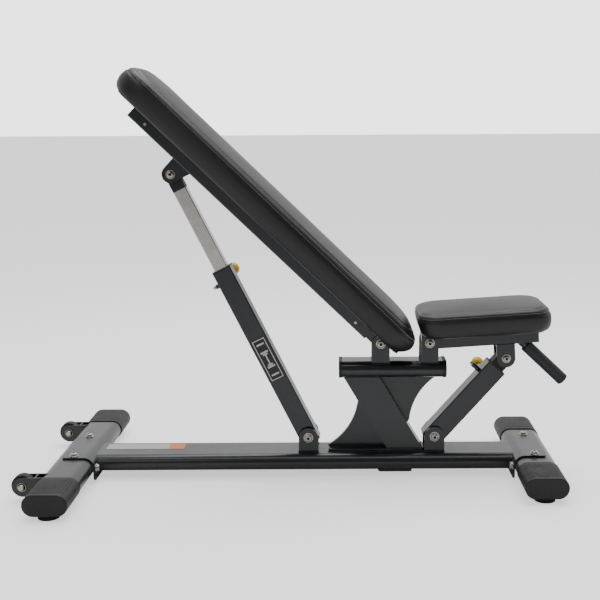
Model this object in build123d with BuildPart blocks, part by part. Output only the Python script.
from build123d import *
import os
from math import atan2, cos, degrees, hypot, radians, sin

# Adjustable weight bench: a floor frame, a tilting backrest and a tilting seat,
# each propped by its own telescopic strut.
# Millimetres. +X runs from the transport wheels to the seat end, +Y to the far side, +Z up.
# Origin: middle of the outline in X and Y, on the floor.

# ---------------------------------------------------------------- driving sizes

foot_spacing = 1099.0          # rear foot to front foot, centre lines
rear_foot_length = 650.0
front_foot_length = 478.0
foot_width = 100.0             # flat-oval end caps
foot_height = 50.0
cap_wall = 2.0
cap_length = 110.0
cap_end_wall = 6.0
cap_edge_round = 3.0
foot_pad_height = 12.0
foot_pad_radius = 24.0
foot_pad_inset = 32.0          # from the end of the foot to the pad centre
tube_wall = 2.5

beam_width = 120.0
beam_height = 40.0
beam_bottom = 16.0             # above the floor

saddle_width = 180.0
saddle_wall = 4.0
saddle_top_reach = 26.0        # outwards past the foot centre line
saddle_lip_drop = 31.0         # below the foot centre line
saddle_corner = 9.0
saddle_bolt_offset = 75.0      # either side of the beam
side_bolt_offset = 74.0
side_bolt_drop = 3.0           # below the foot centre line

wheel_radius = 26.0
wheel_width = 21.0
wheel_offset = 198.0           # either side of the middle
wheel_reach = wheel_radius + 56.5   # rear foot centre line to axle
wheel_axle_height = 38.5
fork_plate = 3.0
fork_end_radius = 21.5
fork_gap = 12.5                # wheel middle to fork plate
fork_web_gap = 3.0
axle_radius = 4.0

post_width = 86.0              # measured level
post_depth = 50.0
post_angle = 59.7
post_foot_x = 749.0            # rear lower corner, from the rear foot
base_plate_start = 607.0
base_plate_end = 839.5
base_plate_depth = 56.0
base_plate_wall = 6.0
under_plate_start = 727.0
under_plate_length = 82.0
under_plate_depth = 90.0
gusset_wall = 10.0

top_tube_width = 80.0
top_tube_height = 40.0
top_tube_middle = 260.0        # height of its centre line
top_tube_start = 633.0
top_tube_end = 891.0
top_cap_length = 8.0

running_gap = 0.3
running_fit = 0.06
open_pivot_gap = 0.5            # radial play where a strut loop is left open
ear_wall = 5.0
pivot_radius = 6.0
washer_wall = 2.0
washer_over = 6.0              # washer radius over the bolt radius
head_over = 3.5
head_height = 6.0
hub_half_width = 28.2
post_ear_radius = 21.0

back_pivot_x = 733.8
back_pivot_rise = 64.6          # over the middle of the top tube
back_angle = 44.1              # backrest above level, as drawn
back_frame_under = 14.4        # pivot to the underside of the frame
back_frame_over = 13.5         # pivot to the top of the frame
rail_width = 28.0
rail_start = 42.0
back_pad_end = 866.0
rail_end = back_pad_end - 78     # the rails stop short of the pad
hub_start = -14.0
hub_end = 150.0
cross_width = 40.0
cross_middles = (118.0, 360.0, rail_end - cross_width / 2)

board_wall = 8.0
back_pad_start = -64.0
back_pad_half_width = 115.0
back_pad_thick = 73.5
seat_pad_start = -33.0
seat_pad_end = 291.0
seat_frame_end = seat_pad_end - 30
seat_pad_half_width = 110.0
seat_pad_thick = 64.5
pad_corner = 58.0
seat_pad_corner = 45.0
board_inset = 26.0             # the pad wraps round its board
# Ends of the pads, as (inset from the end, share of the thickness).
back_low_end = ((24, 0), (12, 0.14), (4, 0.31), (0, 0.5), (2, 0.61), (12, 0.73), (27, 0.84), (49, 0.965), (75, 1))
back_high_end = ((13, 0), (4, 0.16), (0, 0.43), (2, 0.6), (7, 0.77), (16, 0.89), (31, 0.97), (60, 1))
seat_rear_end = ((13, 0), (6, 0.27), (0, 0.6), (1, 0.76), (5, 0.87), (14, 0.95), (34, 1))
seat_front_end = ((10, 0), (2, 0.15), (0, 0.5), (2, 0.7), (8, 0.86), (18, 0.95), (40, 1))
ear_notch = 26.0               # cut away this far past the pivot
ear_notch_half = 45.0
ear_notch_depth = 11.0
bracket_pocket = 12.0          # recess in the pad above the strut bracket
recess_length = 86.0
recess_shift = -4.0

seat_pivot_x = 850.4
seat_pivot_rise = 65.4
seat_angle = 3.5
seat_frame_under = 16.5
seat_frame_over = 19.5
seat_frame_start = -18.0

back_strut_foot_x = 558.3
back_strut_foot_z = 91.9
back_strut_ear_radius = 23.5
back_head_s = 631.2            # upper strut pivot, along and off the backrest
back_head_n = -50.4
seat_strut_foot_x = 864.1
seat_strut_foot_z = 93.3
seat_strut_ear_radius = 24.0
seat_head_s = 181.2
seat_head_n = -51.1

back_strut_width = 46.0
back_strut_reach = 459.0       # foot pivot to the top of the outer tube
back_inner_width = 32.0
back_inner_length = 455.0
back_fitting_length = 41.0
seat_strut_width = 50.0
seat_strut_reach = 225.5
seat_inner_width = 36.0
seat_inner_length = 190.0
seat_fitting_length = 31.0
strut_tail = 16.0              # outer tube past its foot pivot
sleeve_radius = 11.0
collar_length = 62.0
collar_lip = 3.0
back_pin_drop = 25.0           # top of the outer tube to the locking pin
seat_pin_drop = 38.0
screw_drop = 35.0              # top of the outer tube to the clamp screw
hole_pitch = 34.1
hole_radius = 5.3

head_ear_wall = 5.0
head_gap = 3.5                 # inner tube to an ear of its upper pivot
head_bolt_radius = 5.0
pin_radius = 4.5
barrel_radius = 9.0
barrel_length = 44.0
barrel_nut_radius = 13.0
barrel_nut_height = 8.0
knob_radius = 16.0
knob_middle = 143.0            # from the middle of the bench
pin_nose_gap = 0.4
clamp_boss_radius = 5.5
clamp_tip_radius = 4.3
clamp_tip_height = 7.0

handle_s = 223.4               # where the handle leaves the seat frame
handle_angle = -43.4
handle_length = 141.6
handle_rod_radius = 11.0
handle_grip_radius = 15.0
handle_grip_start = 14.0
handle_end_wall = 5.0

# ---------------------------------------------------------------- derived places

handle_tip_x = (
    seat_pivot_x
    + handle_s * cos(radians(seat_angle))
    + seat_frame_under * sin(radians(seat_angle))
    + handle_length * cos(radians(handle_angle))
    + handle_grip_radius * sin(radians(-handle_angle))
)
middle_x = (handle_tip_x - wheel_reach - wheel_radius) / 2


def station(distance):
    """X of a place measured forward from the rear foot."""
    return distance - middle_x


foot_z = foot_pad_height + foot_height / 2
tube_width = foot_width - 2 * cap_wall
tube_height = foot_height - 2 * cap_wall
rear_x = station(0)
front_x = station(foot_spacing)
beam_z = beam_bottom + beam_height / 2
beam_top = beam_bottom + beam_height
post_bottom = beam_top + base_plate_wall
top_tube_bottom = top_tube_middle - top_tube_height / 2
back_pivot_z = top_tube_middle + back_pivot_rise
seat_pivot_z = top_tube_middle + seat_pivot_rise
# Middle to the inside of a strut foot ear, wide enough for either strut.
strut_foot_gap = max(back_strut_width, seat_strut_width) / 2 + 1.5
bracket_gap = back_inner_width / 2 + head_gap
lug_gap = seat_inner_width / 2 + head_gap
# Clear width between the rails, round the strut bracket and its bolt.
rail_gap = 2 * (bracket_gap + head_ear_wall + washer_wall + head_height + 0.5)
saddle_radius = tube_height / 2 + saddle_wall
saddle_flat = (tube_width - tube_height) / 2
saddle_face = saddle_flat + saddle_radius

side = Plane(origin=(0, 0, 0), x_dir=(1, 0, 0), z_dir=(0, -1, 0))


def tilted(x, z, angle):
    """Side-on plane at a pivot, its local X pointing along the given angle."""
    direction = (cos(radians(angle)), 0, sin(radians(angle)))
    return Plane(origin=(x, 0, z), x_dir=direction, z_dir=(0, -1, 0))


def back_side():
    """Side-on plane at the backrest pivot: X up the backrest, Y towards the pad."""
    direction = (-cos(radians(back_angle)), 0, sin(radians(back_angle)))
    origin = (station(back_pivot_x), 0, back_pivot_z)
    return Plane(origin=origin, x_dir=direction, z_dir=(0, 1, 0))


back = back_side()
seat = tilted(station(seat_pivot_x), seat_pivot_z, seat_angle)
back_head = back.from_local_coords((back_head_s, back_head_n, 0))
seat_head = seat.from_local_coords((seat_head_s, seat_head_n, 0))


def strut_plane(foot_x, foot_z_height, head):
    """Side-on plane at a strut's foot pivot, X pointing at its head pivot."""
    x = station(foot_x)
    angle = degrees(atan2(head.Z - foot_z_height, head.X - x))
    return tilted(x, foot_z_height, angle)


def strut_reach(foot_x, foot_z_height, head):
    """Distance from a strut's foot pivot to its head pivot."""
    return hypot(head.X - station(foot_x), head.Z - foot_z_height)


back_strut = strut_plane(back_strut_foot_x, back_strut_foot_z, back_head)
seat_strut = strut_plane(seat_strut_foot_x, seat_strut_foot_z, seat_head)
back_strut_length = strut_reach(back_strut_foot_x, back_strut_foot_z, back_head)
seat_strut_length = strut_reach(seat_strut_foot_x, seat_strut_foot_z, seat_head)


def save(part, name):
    """Label a finished piece and write it as one STEP file."""
    part.label = name
    export_step(part, f"parts/{name}.step")


def across(plane, y):
    """The same side-on plane moved sideways to y, with its local Z along +Y."""
    origin = plane.origin + Vector(0, y, 0)
    return Plane(origin=origin, x_dir=plane.x_dir, z_dir=(0, 1, 0))


# ---------------------------------------------------------------- floor frame

def flat_oval_foot(length, x):
    """Hollow flat-oval cross tube of one foot."""
    with BuildPart() as tube:
        with BuildSketch(Plane(origin=(x, 0, foot_z), x_dir=(1, 0, 0), z_dir=(0, -1, 0))):
            SlotOverall(tube_width, tube_height)
            SlotOverall(tube_width - 2 * tube_wall, tube_height - 2 * tube_wall, mode=Mode.SUBTRACT)
        extrude(amount=length / 2 - cap_end_wall, both=True)
    return tube.part


def foot_caps(length, x):
    """Two moulded end caps pushed over the ends of a foot tube."""
    with BuildPart() as caps:
        for way in (-1, 1):
            end = Plane(origin=(x, way * length / 2, foot_z), x_dir=(1, 0, 0), z_dir=(0, -way, 0))
            with BuildSketch(end):
                SlotOverall(foot_width, foot_height)
            extrude(amount=cap_length)
            with BuildSketch(end.offset(cap_end_wall)):
                SlotOverall(tube_width, tube_height)
            extrude(amount=cap_length, mode=Mode.SUBTRACT)
        ends = caps.faces().filter_by(Axis.Y).group_by(lambda f: round(abs(f.center().Y)))[-1]
        fillet(ends.edges(), cap_edge_round)
    return caps.part


def saddle(x, inward):
    """Bent plate over a foot: flat on top, round the inner side, down to a lip."""
    with BuildPart() as plate:
        at = Plane(origin=(x, 0, foot_z), x_dir=(inward, 0, 0), z_dir=(0, -inward, 0))
        inner = tube_height / 2
        with BuildSketch(at):
            with BuildLine():
                Polyline(
                    (saddle_flat, saddle_radius),
                    (-saddle_top_reach, saddle_radius),
                    (-saddle_top_reach, inner),
                    (saddle_flat, inner),
                )
                CenterArc((saddle_flat, 0), inner, 0, 90)
                Polyline(
                    (saddle_flat + inner, 0),
                    (saddle_flat + inner, -saddle_lip_drop),
                    (saddle_face, -saddle_lip_drop),
                    (saddle_face, 0),
                )
                CenterArc((saddle_flat, 0), saddle_radius, 0, 90)
            make_face()
        extrude(amount=saddle_width / 2, both=True)
        lip = plate.edges().filter_by(Axis.X).group_by(Axis.Z)[0]
        fillet(lip, saddle_corner)
        rim = plate.edges().filter_by(Axis.Z).filter_by(lambda e: (e.center().X - x) * inward < 0)
        fillet(rim, saddle_corner)
        with Locations(at):
            with Locations((0, saddle_radius, -saddle_bolt_offset), (0, saddle_radius, saddle_bolt_offset)):
                Cylinder(pivot_radius, 4 * saddle_wall, rotation=(90, 0, 0), mode=Mode.SUBTRACT)
            spots = [(saddle_face, -side_bolt_drop, way * side_bolt_offset) for way in (-1, 1)]
            with Locations(*spots):
                Cylinder(pivot_radius, 4 * saddle_wall, rotation=(0, 90, 0), mode=Mode.SUBTRACT)
    return plate.part


def domed_bolt(face, radius, grip):
    """Washer and domed head outside a face, shank behind it."""
    with BuildPart() as bolt:
        with BuildSketch(face):
            Circle(radius + washer_over)
        extrude(amount=washer_wall)
        with BuildSketch(face.offset(washer_wall)):
            Circle(radius + head_over)
        extrude(amount=head_height, taper=18)
        with BuildSketch(face):
            Circle(radius)
        extrude(amount=-grip)
    return bolt.part


def saddle_bolts():
    """Domed bolts through both saddles: two on top of each foot, two on its inner side."""
    with BuildPart() as bolts:
        for x, inward in ((rear_x, 1), (front_x, -1)):
            for way in (-1, 1):
                top = Plane(origin=(x, way * saddle_bolt_offset, foot_z + saddle_radius), z_dir=(0, 0, 1))
                add(domed_bolt(top, pivot_radius - 1, saddle_wall))
                face = Plane(
                    origin=(x + inward * saddle_face, way * side_bolt_offset, foot_z - side_bolt_drop),
                    x_dir=(0, 0, 1),
                    z_dir=(inward, 0, 0),
                )
                add(domed_bolt(face, pivot_radius - 1, saddle_wall))
    return bolts.part


save(flat_oval_foot(rear_foot_length, rear_x), "rear_foot_tube")
save(flat_oval_foot(front_foot_length, front_x), "front_foot_tube")
save(foot_caps(rear_foot_length, rear_x), "rear_foot_caps")
save(foot_caps(front_foot_length, front_x), "front_foot_caps")
save(saddle(rear_x, 1), "rear_saddle")
save(saddle(front_x, -1), "front_saddle")
save(saddle_bolts(), "saddle_bolts")

with BuildPart() as foot_pads:
    for x, length in ((rear_x, rear_foot_length), (front_x, front_foot_length)):
        with BuildSketch(Plane.XY):
            with Locations((x, length / 2 - foot_pad_inset), (x, foot_pad_inset - length / 2)):
                Circle(foot_pad_radius)
        extrude(amount=foot_pad_height)
save(foot_pads.part, "foot_pads")

# The beam runs into both saddles and is coped to their round faces.
with BuildPart() as main_beam:
    with BuildSketch(Plane(origin=(rear_x, 0, beam_z), x_dir=(0, 1, 0), z_dir=(1, 0, 0))):
        SlotOverall(beam_width, beam_height)
        SlotOverall(beam_width - 2 * tube_wall, beam_height - 2 * tube_wall, mode=Mode.SUBTRACT)
    extrude(amount=foot_spacing)
    for x, inward in ((rear_x, 1), (front_x, -1)):
        cope = Plane(origin=(x, 0, foot_z), x_dir=(inward, 0, 0), z_dir=(0, -inward, 0))
        with BuildSketch(cope):
            SlotOverall(2 * saddle_face, 2 * saddle_radius)
            with Locations((0, -foot_height / 2)):
                Rectangle(2 * saddle_face, foot_height)
        extrude(amount=beam_width, both=True, mode=Mode.SUBTRACT)
save(main_beam.part, "main_beam")

# ---------------------------------------------------------------- transport wheels

axle_x = rear_x - wheel_reach
fork_reach = wheel_reach - tube_width / 2

with BuildPart() as wheel_forks:
    for way in (-1, 1):
        for lean in (-1, 1):
            y = way * wheel_offset + lean * (fork_gap + fork_plate / 2)
            at = across(Plane(origin=(axle_x, 0, wheel_axle_height), x_dir=(1, 0, 0), z_dir=(0, 1, 0)), y)
            with BuildSketch(at):
                Circle(fork_end_radius)
                with Locations((wheel_reach / 2 - saddle_flat / 2, 0)):
                    Rectangle(wheel_reach - saddle_flat, 2 * fork_end_radius)
                Circle(axle_radius, mode=Mode.SUBTRACT)
            extrude(amount=fork_plate / 2, both=True)
        web_x = axle_x + wheel_radius + fork_web_gap + fork_plate / 2
        with Locations((web_x, way * wheel_offset, wheel_axle_height)):
            Box(fork_plate, 2 * fork_gap, 2 * fork_end_radius)
    with BuildSketch(Plane(origin=(rear_x, 0, foot_z), x_dir=(1, 0, 0), z_dir=(0, -1, 0))):
        SlotOverall(tube_width, tube_height)
    extrude(amount=rear_foot_length, both=True, mode=Mode.SUBTRACT)
save(wheel_forks.part, "wheel_forks")

with BuildPart() as wheel_axles:
    for way in (-1, 1):
        half = fork_gap + fork_plate
        for lean in (-1, 1):
            face = Plane(
                origin=(axle_x, way * wheel_offset + lean * half, wheel_axle_height),
                x_dir=(1, 0, 0),
                z_dir=(0, lean, 0),
            )
            add(domed_bolt(face, axle_radius, half))
save(wheel_axles.part, "wheel_axles")


def wheel(way):
    """Solid rubber wheel with a grooved hub, bored to run on its bolt."""
    with BuildPart() as tyre:
        at = Plane(origin=(axle_x, way * wheel_offset, wheel_axle_height), x_dir=(1, 0, 0), z_dir=(0, -1, 0))
        with BuildSketch(at):
            Circle(wheel_radius)
        extrude(amount=wheel_width / 2, both=True)
        fillet(tyre.edges().filter_by(GeomType.CIRCLE), wheel_width / 7)
        for lean in (-1, 1):
            with BuildSketch(at.offset(lean * wheel_width / 2)):
                Circle(wheel_radius * 0.68)
                Circle(wheel_radius * 0.38, mode=Mode.SUBTRACT)
            extrude(amount=-lean * wheel_width / 6, mode=Mode.SUBTRACT)
        with BuildSketch(at):
            Circle(axle_radius + running_fit)
        extrude(amount=wheel_width, both=True, mode=Mode.SUBTRACT)
    return tyre.part


save(wheel(-1), "wheel_right")
save(wheel(1), "wheel_left")

# ---------------------------------------------------------------- post and top tube

post_lean = (top_tube_bottom - post_bottom) / sin(radians(post_angle)) * cos(radians(post_angle))
post_rear = station(post_foot_x)
post_front = post_rear + post_width


def post_edge(z, x):
    """X on a slanting post side that starts at x on the base plate, at height z."""
    return x - post_lean * (z - post_bottom) / (top_tube_bottom - post_bottom)


with BuildPart() as post_tube:
    with BuildSketch(side):
        Polygon(
            (post_rear, post_bottom),
            (post_front, post_bottom),
            (post_front - post_lean, top_tube_bottom),
            (post_rear - post_lean, top_tube_bottom),
            align=None,
        )
    extrude(amount=post_depth / 2, both=True)
    level_wall = tube_wall / sin(radians(post_angle))
    with BuildSketch(side):
        Polygon(
            (post_rear + level_wall, post_bottom),
            (post_front - level_wall, post_bottom),
            (post_front - post_lean - level_wall, top_tube_bottom),
            (post_rear - post_lean + level_wall, top_tube_bottom),
            align=None,
        )
    extrude(amount=post_depth / 2 - tube_wall, both=True, mode=Mode.SUBTRACT)
save(post_tube.part, "post_tube")

with BuildPart() as base_plate:
    length = base_plate_end - base_plate_start
    with BuildSketch(Plane.XY.offset(beam_top)):
        with Locations((station(base_plate_start) + length / 2, 0)):
            RectangleRounded(length, base_plate_depth, saddle_corner)
    extrude(amount=base_plate_wall)
save(base_plate.part, "post_base_plate")

with BuildPart() as under_plate:
    with BuildSketch(Plane.XY.offset(beam_bottom)):
        with Locations((station(under_plate_start) + under_plate_length / 2, 0)):
            RectangleRounded(under_plate_length, under_plate_depth, saddle_corner)
    extrude(amount=-base_plate_wall)
    with BuildSketch(Plane(origin=(0, 0, beam_z), x_dir=(0, 1, 0), z_dir=(1, 0, 0))):
        SlotOverall(beam_width, beam_height)
    extrude(amount=foot_spacing, both=True, mode=Mode.SUBTRACT)
save(under_plate.part, "under_beam_plate")

rear_gusset_top = 173.0
rear_gusset_lip = 5.0
front_gusset_reach = 871.5
front_gusset_foot = 123.0
gusset_arc = 150.0

# One plate each side of the post, in its middle plane, with a hollow curved edge.
with BuildPart() as rear_gusset:
    toe = station(base_plate_start) + 2
    top_x = post_edge(rear_gusset_top, post_rear)
    with BuildSketch(side):
        with BuildLine():
            Polyline(
                (top_x - 6, rear_gusset_top),
                (top_x, rear_gusset_top),
                (post_rear, post_bottom),
                (toe, post_bottom),
                (toe, post_bottom + rear_gusset_lip),
            )
            RadiusArc((toe, post_bottom + rear_gusset_lip), (top_x - 6, rear_gusset_top), -gusset_arc)
        make_face()
    extrude(amount=gusset_wall / 2, both=True)
save(rear_gusset.part, "rear_gusset")

with BuildPart() as front_gusset:
    tip = station(front_gusset_reach)
    foot_x = post_edge(front_gusset_foot, post_front)
    with BuildSketch(side):
        with BuildLine():
            Polyline(
                (tip, top_tube_bottom),
                (post_front - post_lean, top_tube_bottom),
                (foot_x, front_gusset_foot),
                (foot_x + 5, front_gusset_foot + 6),
            )
            RadiusArc((foot_x + 5, front_gusset_foot + 6), (tip, top_tube_bottom), gusset_arc)
        make_face()
    extrude(amount=gusset_wall / 2, both=True)
save(front_gusset.part, "front_gusset")

with BuildPart() as top_tube:
    start = station(top_tube_start + top_cap_length)
    length = top_tube_end - top_tube_start - 2 * top_cap_length
    with BuildSketch(Plane(origin=(start, 0, top_tube_middle), x_dir=(0, 1, 0), z_dir=(1, 0, 0))):
        SlotOverall(top_tube_width, top_tube_height)
        SlotOverall(top_tube_width - 2 * tube_wall, top_tube_height - 2 * tube_wall, mode=Mode.SUBTRACT)
    extrude(amount=length)
save(top_tube.part, "top_tube")

with BuildPart() as top_tube_caps:
    for x, inward in ((station(top_tube_start), 1), (station(top_tube_end), -1)):
        end = Plane(origin=(x, 0, top_tube_middle), x_dir=(0, 1, 0), z_dir=(inward, 0, 0))
        with BuildSketch(end):
            SlotOverall(top_tube_width + 2, top_tube_height + 2)
        extrude(amount=top_cap_length)
save(top_tube_caps.part, "top_tube_caps")

# ---------------------------------------------------------------- pivot ears and bolts

def pivot_ears(x, pivot_z, bottom, radius, inside, bore, trim=None, floor=0.0):
    """Pair of upright round-topped ears, joined by a floor plate when floor is given."""
    with BuildPart() as ears:
        for way in (-1, 1):
            y = way * (inside + ear_wall / 2)
            with BuildSketch(across(Plane(origin=(x, 0, pivot_z), x_dir=(1, 0, 0), z_dir=(0, 1, 0)), y)):
                Circle(radius)
                with Locations((0, (pivot_z - bottom) / 2)):
                    Rectangle(2 * radius, pivot_z - bottom)
                Circle(bore, mode=Mode.SUBTRACT)
            extrude(amount=ear_wall / 2, both=True)
        if floor:
            with Locations((x, 0, bottom + floor / 2)):
                Box(2 * radius, 2 * inside + ear_wall, floor)
        if trim:
            with BuildSketch(Plane(origin=(x, 0, trim), x_dir=(0, 1, 0), z_dir=(1, 0, 0))):
                SlotOverall(top_tube_width, top_tube_height)
            extrude(amount=2 * radius, both=True, mode=Mode.SUBTRACT)
    return ears.part


def pivot_bolt(x, z, radius, half_span):
    """Bolt along Y with a domed head and washer at each end of the joint."""
    with BuildPart() as bolt:
        for way in (-1, 1):
            face = Plane(origin=(x, way * half_span, z), x_dir=(1, 0, 0), z_dir=(0, way, 0))
            add(domed_bolt(face, radius, half_span))
    return bolt.part


post_ear_face = hub_half_width + running_gap + ear_wall
strut_ear_face = strut_foot_gap + ear_wall

for name, x, z in (("back", back_pivot_x, back_pivot_z), ("seat", seat_pivot_x, seat_pivot_z)):
    ears = pivot_ears(
        station(x), z, top_tube_middle, post_ear_radius, hub_half_width + running_gap, pivot_radius,
        trim=top_tube_middle,
    )
    save(ears, f"{name}_pivot_ears")
    save(pivot_bolt(station(x), z, pivot_radius, post_ear_face), f"{name}_pivot_bolt")

for name, x, z, radius in (
    ("back", back_strut_foot_x, back_strut_foot_z, back_strut_ear_radius),
    ("seat", seat_strut_foot_x, seat_strut_foot_z, seat_strut_ear_radius),
):
    ears = pivot_ears(station(x), z, beam_top, radius, strut_foot_gap, pivot_radius, floor=ear_wall)
    save(ears, f"{name}_strut_ears")
    save(pivot_bolt(station(x), z, pivot_radius, strut_ear_face), f"{name}_strut_foot_bolt")

# ---------------------------------------------------------------- backrest

rail_middle = rail_gap / 2 + rail_width / 2
frame_height = back_frame_under + back_frame_over
frame_middle = (back_frame_over - back_frame_under) / 2

with BuildPart() as back_rails:
    for way in (-1, 1):
        at = across(back, way * rail_middle)
        with BuildSketch(at):
            with Locations(((rail_start + rail_end) / 2, frame_middle)):
                Rectangle(rail_end - rail_start, frame_height)
        extrude(amount=rail_width / 2, both=True)
    along = back.x_dir
    fillet(back_rails.edges().filter_by(lambda e: abs(e.tangent_at(0.5).dot(along)) > 0.99), 4)
    for way in (-1, 1):
        at = across(back, way * rail_middle)
        with BuildSketch(at):
            with Locations(((rail_start + rail_end) / 2, frame_middle)):
                Rectangle(rail_end - rail_start - 8, frame_height - 2 * tube_wall)
        extrude(amount=rail_width / 2 - tube_wall, both=True, mode=Mode.SUBTRACT)
save(back_rails.part, "back_rails")

with BuildPart() as back_crosses:
    with BuildSketch(back):
        for middle in cross_middles[1:]:
            with Locations((middle, frame_middle)):
                Rectangle(cross_width, frame_height)
                Rectangle(cross_width - 2 * tube_wall, frame_height - 2 * tube_wall, mode=Mode.SUBTRACT)
    extrude(amount=rail_gap / 2, both=True)
save(back_crosses.part, "back_cross_tubes")

with BuildPart() as back_hub:
    with BuildSketch(back):
        with Locations(((hub_start + hub_end) / 2, frame_middle)):
            Rectangle(hub_end - hub_start, frame_height)
        Circle(pivot_radius + running_fit, mode=Mode.SUBTRACT)
    extrude(amount=hub_half_width, both=True)
    with BuildSketch(back):
        with Locations((cross_middles[0], frame_middle)):
            Rectangle(cross_width, frame_height)
    extrude(amount=rail_gap / 2, both=True)
save(back_hub.part, "back_hub")


def plan_plane(frame_plane, height):
    """Plane facing away from a pad's board, at a height over the pivot."""
    origin = frame_plane.from_local_coords((0, height, 0))
    return Plane(origin=origin, x_dir=frame_plane.x_dir, z_dir=frame_plane.y_dir)


def board(frame_plane, height, start, end, half_width, corner):
    """Plywood board inside a pad's underside, notched round the pivot ears."""
    with BuildPart() as sheet:
        with BuildSketch(plan_plane(frame_plane, height)):
            with Locations(((start + end) / 2, 0)):
                RectangleRounded(end - start - 2 * board_inset, 2 * (half_width - board_inset), corner)
        extrude(amount=board_wall)
    return sheet.part - ear_space(frame_plane, height, start)


def ear_space(frame_plane, height, start):
    """Clear space under a pad for the pivot ears and the bolt heads on them."""
    with BuildPart() as space:
        with BuildSketch(frame_plane):
            with Locations((start, height)):
                Rectangle(ear_notch - start, 2 * ear_notch_depth, align=(Align.MIN, Align.CENTER))
        extrude(amount=ear_notch_half, both=True)
    return space.part


def pad(frame_plane, bottom, start, end, half_width, thick, corner, low_end, high_end):
    """Closed pad: rounded plan, with its two ends shaped in side view."""
    with BuildPart() as cushion:
        with BuildSketch(plan_plane(frame_plane, bottom)):
            with Locations(((start + end) / 2, 0)):
                RectangleRounded(end - start, 2 * half_width, corner)
        extrude(amount=thick)
        with BuildSketch(frame_plane):
            up = [(start + inset, bottom + share * thick) for inset, share in low_end]
            down = [(end - inset, bottom + share * thick) for inset, share in reversed(high_end)]
            with BuildLine():
                Polyline(*up, *down, close=True)
            make_face()
        extrude(amount=half_width, both=True, mode=Mode.INTERSECT)
    return cushion.part - ear_space(frame_plane, bottom, start)


def bracket_recess():
    """Clear space over the strut bracket, which rises between the rails."""
    depth = board_wall + bracket_pocket
    with BuildPart() as space:
        with BuildSketch(back):
            with Locations((back_head_s + recess_shift, back_frame_over + depth / 2)):
                Rectangle(recess_length, depth)
        extrude(amount=rail_gap / 2, both=True)
    return space.part


recess = bracket_recess()
back_board_part = board(
    back, back_frame_over, back_pad_start, back_pad_end, back_pad_half_width, pad_corner - board_inset
)
back_pad_part = pad(
    back, back_frame_over, back_pad_start, back_pad_end, back_pad_half_width,
    back_pad_thick, pad_corner, back_low_end, back_high_end,
)
save(back_board_part - recess, "back_board")
save(back_pad_part - back_board_part - recess, "back_pad")

screw_stations = (84.0, rail_end - 43)
with BuildPart() as back_frame_screws:
    for way in (-1, 1):
        for s in screw_stations:
            spot = back.from_local_coords((s, -1, 0))
            face = Plane(
                origin=(spot.X, way * (rail_gap / 2 + rail_width), spot.Z), x_dir=(1, 0, 0), z_dir=(0, way, 0)
            )
            with BuildSketch(face):
                Circle(4.2)
            extrude(amount=2.6, taper=20)
save(back_frame_screws.part, "back_frame_screws")

# ---------------------------------------------------------------- strut bracket under the backrest

bracket_top = -back_frame_under + 5.0
bracket_plate = 4.0

with BuildPart() as strut_bracket:
    for way in (-1, 1):
        at = across(back, way * (bracket_gap + head_ear_wall / 2))
        with BuildSketch(at):
            with Locations((back_head_s, back_head_n)):
                Circle(21)
            with BuildLine():
                Polyline(
                    (back_head_s - 14, back_head_n - 15.6),
                    (back_head_s + 21, back_head_n),
                    (back_head_s + 22, bracket_top),
                    (back_head_s - 31, bracket_top),
                    (back_head_s - 31, bracket_top - 9),
                    (back_head_s - 14, back_head_n - 15.6),
                )
            make_face()
            with Locations((back_head_s, back_head_n)):
                Circle(head_bolt_radius, mode=Mode.SUBTRACT)
        extrude(amount=head_ear_wall / 2, both=True)
    with BuildSketch(back):
        with Locations((back_head_s - 4.5, bracket_top - bracket_plate / 2)):
            Rectangle(53, bracket_plate)
    extrude(amount=rail_gap / 2 - running_gap, both=True)
save(strut_bracket.part, "strut_bracket")
save(
    pivot_bolt(back_head.X, back_head.Z, head_bolt_radius, bracket_gap + head_ear_wall),
    "strut_bracket_bolt",
)

# ---------------------------------------------------------------- seat

seat_height = seat_frame_under + seat_frame_over
seat_middle = (seat_frame_over - seat_frame_under) / 2

with BuildPart() as seat_frame:
    with BuildSketch(seat):
        with Locations(((seat_frame_start + seat_frame_end) / 2, seat_middle)):
            Rectangle(seat_frame_end - seat_frame_start, seat_height)
    extrude(amount=hub_half_width, both=True)
    along = seat.x_dir
    fillet(seat_frame.edges().filter_by(lambda e: abs(e.tangent_at(0.5).dot(along)) > 0.99), 4)
    with BuildSketch(seat):
        with Locations(((seat_frame_start + seat_frame_end) / 2 + sleeve_radius, seat_middle)):
            Rectangle(seat_frame_end - seat_frame_start - 44, seat_height - 2 * tube_wall)
    extrude(amount=hub_half_width - tube_wall, both=True, mode=Mode.SUBTRACT)
    with BuildSketch(seat):
        Circle(pivot_radius + running_fit)
    extrude(amount=2 * hub_half_width, both=True, mode=Mode.SUBTRACT)
save(seat_frame.part, "seat_frame")

seat_board_part = board(
    seat, seat_frame_over, seat_pad_start, seat_pad_end, seat_pad_half_width, seat_pad_corner - board_inset
)
seat_pad_part = pad(
    seat, seat_frame_over, seat_pad_start, seat_pad_end, seat_pad_half_width,
    seat_pad_thick, seat_pad_corner, seat_rear_end, seat_front_end,
)
save(seat_board_part, "seat_board")
save(seat_pad_part - seat_board_part, "seat_pad")

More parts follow.
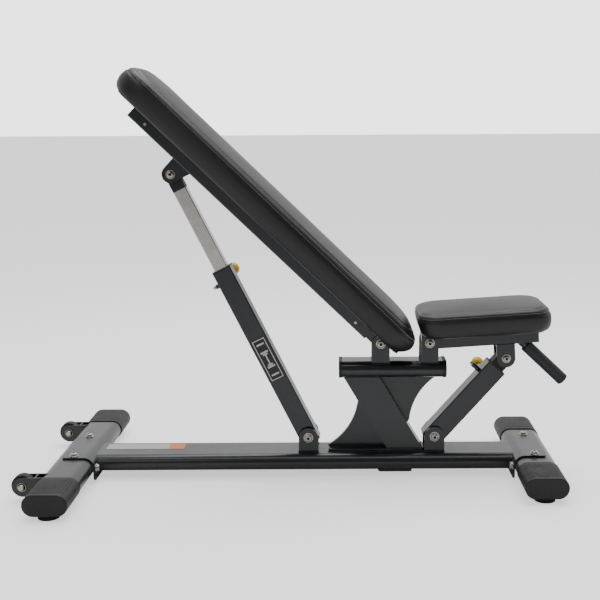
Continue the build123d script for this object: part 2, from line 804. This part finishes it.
with BuildPart() as seat_lug:
    for way in (-1, 1):
        with BuildSketch(across(seat, way * (lug_gap + head_ear_wall / 2))):
            with Locations((seat_head_s, -seat_head_n)):
                Circle(22)
            with Locations((seat_head_s, (seat_frame_under - seat_head_n) / 2)):
                Rectangle(44, -seat_head_n - seat_frame_under)
            with Locations((seat_head_s, -seat_head_n)):
                Circle(head_bolt_radius, mode=Mode.SUBTRACT)
        extrude(amount=head_ear_wall / 2, both=True)
    with BuildSketch(seat):
        with Locations((seat_head_s, -seat_frame_under - 2)):
            Rectangle(44, 4)
    extrude(amount=lug_gap + head_ear_wall / 2, both=True)
save(seat_lug.part, "seat_strut_lug")
save(pivot_bolt(seat_head.X, seat_head.Z, head_bolt_radius, lug_gap + head_ear_wall), "seat_lug_bolt")

handle_root = seat.from_local_coords((handle_s, -seat_frame_under, 0))
handle_dir = (cos(radians(handle_angle)), 0, sin(radians(handle_angle)))
handle_axis = Plane(origin=handle_root, x_dir=(0, 1, 0), z_dir=handle_dir)

with BuildPart() as handle_rod:
    with BuildSketch(handle_axis.offset(-3 * handle_rod_radius)):
        Circle(handle_rod_radius)
    extrude(amount=3 * handle_rod_radius + handle_length - handle_end_wall)
    with BuildSketch(seat):
        with Locations((handle_s, -seat_frame_under + 3 * foot_height / 2)):
            Rectangle(6 * handle_rod_radius, 3 * foot_height)
    extrude(amount=hub_half_width, both=True, mode=Mode.SUBTRACT)
save(handle_rod.part, "handle_rod")

with BuildPart() as handle_grip:
    with BuildSketch(handle_axis.offset(handle_grip_start)):
        Circle(handle_grip_radius)
    extrude(amount=handle_length - handle_grip_start)
    fillet(handle_grip.edges().filter_by(GeomType.CIRCLE), 2.5)
    with BuildSketch(handle_axis):
        Circle(handle_rod_radius)
    extrude(amount=handle_length - handle_end_wall, mode=Mode.SUBTRACT)
save(handle_grip.part, "handle_grip")

# ---------------------------------------------------------------- telescopic struts

def square_run(width, start, end, bore=0.0, corner=0.0):
    """Square bar or tube along the local X axis of the plane it is placed on."""
    with BuildPart(mode=Mode.PRIVATE) as run:
        with BuildSketch(Plane.YZ.offset(start)):
            if corner:
                RectangleRounded(width, width, corner)
            else:
                Rectangle(width, width)
            if bore:
                Rectangle(bore, bore, mode=Mode.SUBTRACT)
        extrude(amount=end - start)
    return run.part


def outer_tube(plane, width, reach, pin_drop, boss_height):
    """Outer tube with its foot sleeve, its pin hole and the boss of its clamp screw."""
    boss_foot = plane.from_local_coords((reach - screw_drop, width / 2, 0))
    with BuildPart() as tube:
        add(plane.location * square_run(width, -strut_tail, reach - collar_lip, width - 2 * tube_wall, 3))
        with BuildSketch(plane):
            Circle(sleeve_radius)
        extrude(amount=strut_foot_gap - running_gap, both=True)
        with BuildSketch(plane):
            Circle(pivot_radius + running_fit)
        extrude(amount=strut_foot_gap, both=True, mode=Mode.SUBTRACT)
        with BuildSketch(across(plane, width / 2)):
            with Locations((reach - pin_drop, 0)):
                Circle(pin_radius + running_gap)
        extrude(amount=2 * tube_wall, both=True, mode=Mode.SUBTRACT)
        with BuildSketch(Plane(origin=boss_foot, z_dir=plane.y_dir)):
            Circle(clamp_boss_radius)
        extrude(amount=boss_height)
    return tube.part


def collar(plane, width, reach, inner_width, pin_drop):
    """Nylon bush in the mouth of the outer tube, with a lip over its end."""
    bore = inner_width + 2 * running_gap
    with BuildPart() as bush:
        add(plane.location * square_run(width, reach - collar_lip, reach, bore, 3))
        fit_width = width - 2 * tube_wall
        add(plane.location * square_run(fit_width, reach - collar_length, reach - collar_lip, bore))
        with BuildSketch(across(plane, width / 2)):
            with Locations((reach - pin_drop, 0)):
                Circle(pin_radius + running_gap)
        extrude(amount=width / 2, both=True, mode=Mode.SUBTRACT)
    return bush.part


def inner_tube(plane, width, length, head_distance, fitting_length, pin_at, low, high):
    """Sliding tube with a row of locking holes in its far wall."""
    start = head_distance - length
    with BuildPart() as tube:
        add(plane.location * square_run(width, start, head_distance - fitting_length, width - 2 * tube_wall, 2))
        with BuildSketch(across(plane, width / 2)):
            with Locations(*[(pin_at + step * hole_pitch, 0) for step in range(low, high + 1)]):
                Circle(hole_radius)
        extrude(amount=tube_wall, both=True, mode=Mode.SUBTRACT)
    return tube.part


def head_fitting(plane, width, head_distance, fitting_length, gap, clearance):
    """Solid end block with a cross eye on the head pivot."""
    with BuildPart() as block:
        with BuildSketch(plane):
            with Locations((head_distance - fitting_length / 2, 0)):
                Rectangle(fitting_length, width)
            with Locations((head_distance, 0)):
                Circle(width / 2)
        extrude(amount=width / 2, both=True)
        with BuildSketch(plane):
            with Locations((head_distance, 0)):
                Circle(sleeve_radius)
        extrude(amount=gap - running_gap, both=True)
        with BuildSketch(plane):
            with Locations((head_distance, 0)):
                Circle(head_bolt_radius + clearance)
        extrude(amount=gap, both=True, mode=Mode.SUBTRACT)
    return block.part


def pin_barrel(plane, width, reach, pin_drop):
    """Threaded barrel and locknut of the locking pin, on the far side of the tube."""
    with BuildPart() as barrel:
        face = across(plane, width / 2)
        with BuildSketch(face):
            with Locations((reach - pin_drop, 0)):
                RegularPolygon(barrel_nut_radius, 6)
        extrude(amount=barrel_nut_height)
        with BuildSketch(face):
            with Locations((reach - pin_drop, 0)):
                Circle(barrel_radius)
        extrude(amount=barrel_length)
        with BuildSketch(face):
            with Locations((reach - pin_drop, 0)):
                Circle(pin_radius + running_gap)
        extrude(amount=barrel_length, mode=Mode.SUBTRACT)
    return barrel.part


def locking_pin(plane, reach, inner_width, pin_drop):
    """Pull rod, stopping just short of the inner tube at rest."""
    nose = inner_width / 2 + pin_nose_gap
    with BuildPart() as rod:
        with BuildSketch(across(plane, nose)):
            with Locations((reach - pin_drop, 0)):
                Circle(pin_radius)
        extrude(amount=knob_middle - knob_radius / 2 - nose)
    return rod.part


def pin_knob(plane, reach, pin_drop):
    """Ball knob screwed on the pull rod."""
    spot = across(plane, knob_middle).from_local_coords((reach - pin_drop, 0, 0))
    with BuildPart() as ball:
        with Locations(spot):
            Sphere(knob_radius)
        with BuildSketch(across(plane, knob_middle - knob_radius)):
            with Locations((reach - pin_drop, 0)):
                Circle(pin_radius + 3.5)
        extrude(amount=knob_radius)
        with BuildSketch(across(plane, 0)):
            with Locations((reach - pin_drop, 0)):
                Circle(pin_radius)
        extrude(amount=knob_middle - knob_radius / 2, mode=Mode.SUBTRACT)
    return ball.part


def clamp_screw(plane, width, reach, boss_height):
    """Anti-rattle screw standing out of its boss on the outer tube."""
    foot = plane.from_local_coords((reach - screw_drop, width / 2 + boss_height, 0))
    with BuildPart() as screw:
        with BuildSketch(Plane(origin=foot, z_dir=plane.y_dir)):
            Circle(clamp_tip_radius)
        extrude(amount=clamp_tip_height, taper=8)
    return screw.part


struts = (
    ("back", back_strut, back_strut_width, back_strut_reach, back_inner_width, back_inner_length,
     back_strut_length, back_fitting_length, bracket_gap, running_fit, -3, 6, 10.0, back_pin_drop),
    ("seat", seat_strut, seat_strut_width, seat_strut_reach, seat_inner_width, seat_inner_length,
     seat_strut_length, seat_fitting_length, lug_gap, open_pivot_gap, -2, 0, 20.0, seat_pin_drop),
)

for name, plane, width, reach, inner, length, head, fitting, gap, clearance, low, high, boss, pin_drop in struts:
    save(outer_tube(plane, width, reach, pin_drop, boss), f"{name}_strut_tube")
    save(collar(plane, width, reach, inner, pin_drop), f"{name}_strut_collar")
    save(inner_tube(plane, inner, length, head, fitting, reach - pin_drop, low, high), f"{name}_inner_tube")
    save(head_fitting(plane, inner, head, fitting, gap, clearance), f"{name}_inner_head")
    save(pin_barrel(plane, width, reach, pin_drop), f"{name}_pin_barrel")
    save(locking_pin(plane, reach, inner, pin_drop), f"{name}_pin_rod")
    save(pin_knob(plane, reach, pin_drop), f"{name}_pin_knob")
    save(clamp_screw(plane, width, reach, boss), f"{name}_clamp_screw")

print("strut lengths", round(back_strut_length, 2), round(seat_strut_length, 2))
print("middle_x", round(middle_x, 3))
for label, plane in (("back pivot", back), ("seat pivot", seat), ("back strut", back_strut), ("seat strut", seat_strut)):
    print(label, [round(v, 3) for v in plane.origin], [round(v, 5) for v in plane.x_dir])
print("back head", [round(v, 3) for v in back_head], "seat head", [round(v, 3) for v in seat_head])
